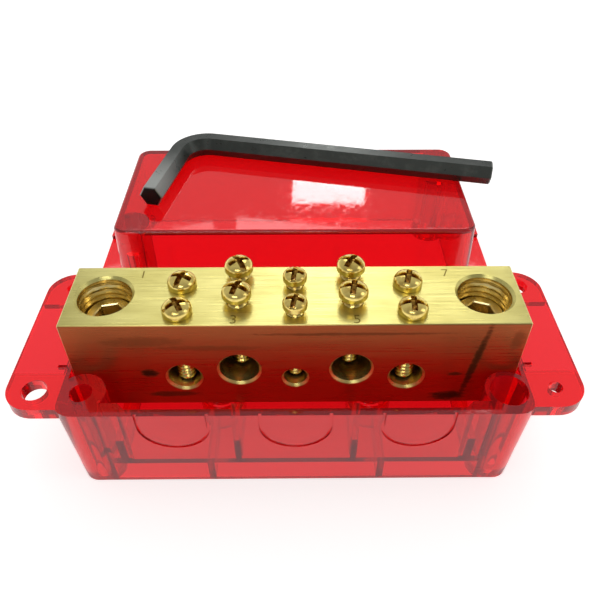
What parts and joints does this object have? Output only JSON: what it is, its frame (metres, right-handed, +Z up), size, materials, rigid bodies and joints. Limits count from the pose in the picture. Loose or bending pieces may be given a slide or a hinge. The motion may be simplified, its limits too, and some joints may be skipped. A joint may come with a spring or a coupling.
{
  "type": "power distribution block",
  "caption": "Insulated power distribution block: a drilled brass link bar with clamp screws in a red translucent base, its cover lifted off beside it, with its hexagon key.",
  "frame": {"origin": "centre of the base's underside, on the surface that base and cover stand on", "axes": "+X along the bar, +Y from the base towards the cover that lies beside it, +Z up"},
  "size_m": [0.1272, 0.1072, 0.0461],
  "materials": {
    "red_polycarbonate": "clear red, moulded, glossy",
    "bar_brass": "drawn, brushed",
    "screw_brass": "turned",
    "blackened_steel": "black oxide"
  },
  "bodies": {
    "block": {"base_housing": "red_polycarbonate", "link_bar": "bar_brass", "cover_housing": "red_polycarbonate", "hex_key": "blackened_steel", "bar_fixing_screw_left": "screw_brass", "bar_fixing_screw_right": "screw_brass"},
    "clamp_screw_1_front": {"clamp_screw_1_front": "screw_brass"},
    "clamp_screw_1_rear": {"clamp_screw_1_rear": "screw_brass"},
    "clamp_screw_2_front": {"clamp_screw_2_front": "screw_brass"},
    "clamp_screw_2_rear": {"clamp_screw_2_rear": "screw_brass"},
    "clamp_screw_3_front": {"clamp_screw_3_front": "screw_brass"},
    "clamp_screw_3_rear": {"clamp_screw_3_rear": "screw_brass"},
    "clamp_screw_4_front": {"clamp_screw_4_front": "screw_brass"},
    "clamp_screw_4_rear": {"clamp_screw_4_rear": "screw_brass"},
    "clamp_screw_5_front": {"clamp_screw_5_front": "screw_brass"},
    "clamp_screw_5_rear": {"clamp_screw_5_rear": "screw_brass"},
    "mains_screw_left": {"mains_screw_left": "screw_brass"},
    "mains_screw_right": {"mains_screw_right": "screw_brass"}
  },
  "joints": [
    {"name": "clamp_travel_1_front", "type": "slide", "parent": "block", "child": "clamp_screw_1_front", "axis": [0, 0, 1], "range_m": [0, 0.0071]},
    {"name": "clamp_travel_1_rear", "type": "slide", "parent": "block", "child": "clamp_screw_1_rear", "axis": [0, 0, 1], "range_m": [0, 0.0071]},
    {"name": "clamp_travel_2_front", "type": "slide", "parent": "block", "child": "clamp_screw_2_front", "axis": [0, 0, 1], "range_m": [0, 0.0086]},
    {"name": "clamp_travel_2_rear", "type": "slide", "parent": "block", "child": "clamp_screw_2_rear", "axis": [0, 0, 1], "range_m": [0, 0.0086]},
    {"name": "clamp_travel_3_front", "type": "slide", "parent": "block", "child": "clamp_screw_3_front", "axis": [0, 0, 1], "range_m": [0, 0.0049]},
    {"name": "clamp_travel_3_rear", "type": "slide", "parent": "block", "child": "clamp_screw_3_rear", "axis": [0, 0, 1], "range_m": [0, 0.0049]},
    {"name": "clamp_travel_4_front", "type": "slide", "parent": "block", "child": "clamp_screw_4_front", "axis": [0, 0, 1], "range_m": [0, 0.0086]},
    {"name": "clamp_travel_4_rear", "type": "slide", "parent": "block", "child": "clamp_screw_4_rear", "axis": [0, 0, 1], "range_m": [0, 0.0086]},
    {"name": "clamp_travel_5_front", "type": "slide", "parent": "block", "child": "clamp_screw_5_front", "axis": [0, 0, 1], "range_m": [0, 0.0071]},
    {"name": "clamp_travel_5_rear", "type": "slide", "parent": "block", "child": "clamp_screw_5_rear", "axis": [0, 0, 1], "range_m": [0, 0.0071]},
    {"name": "mains_travel_left", "type": "slide", "parent": "block", "child": "mains_screw_left", "axis": [0, 0, 1], "range_m": [-0.0052, 0.0057]},
    {"name": "mains_travel_right", "type": "slide", "parent": "block", "child": "mains_screw_right", "axis": [0, 0, 1], "range_m": [-0.0052, 0.0057]}
  ]
}
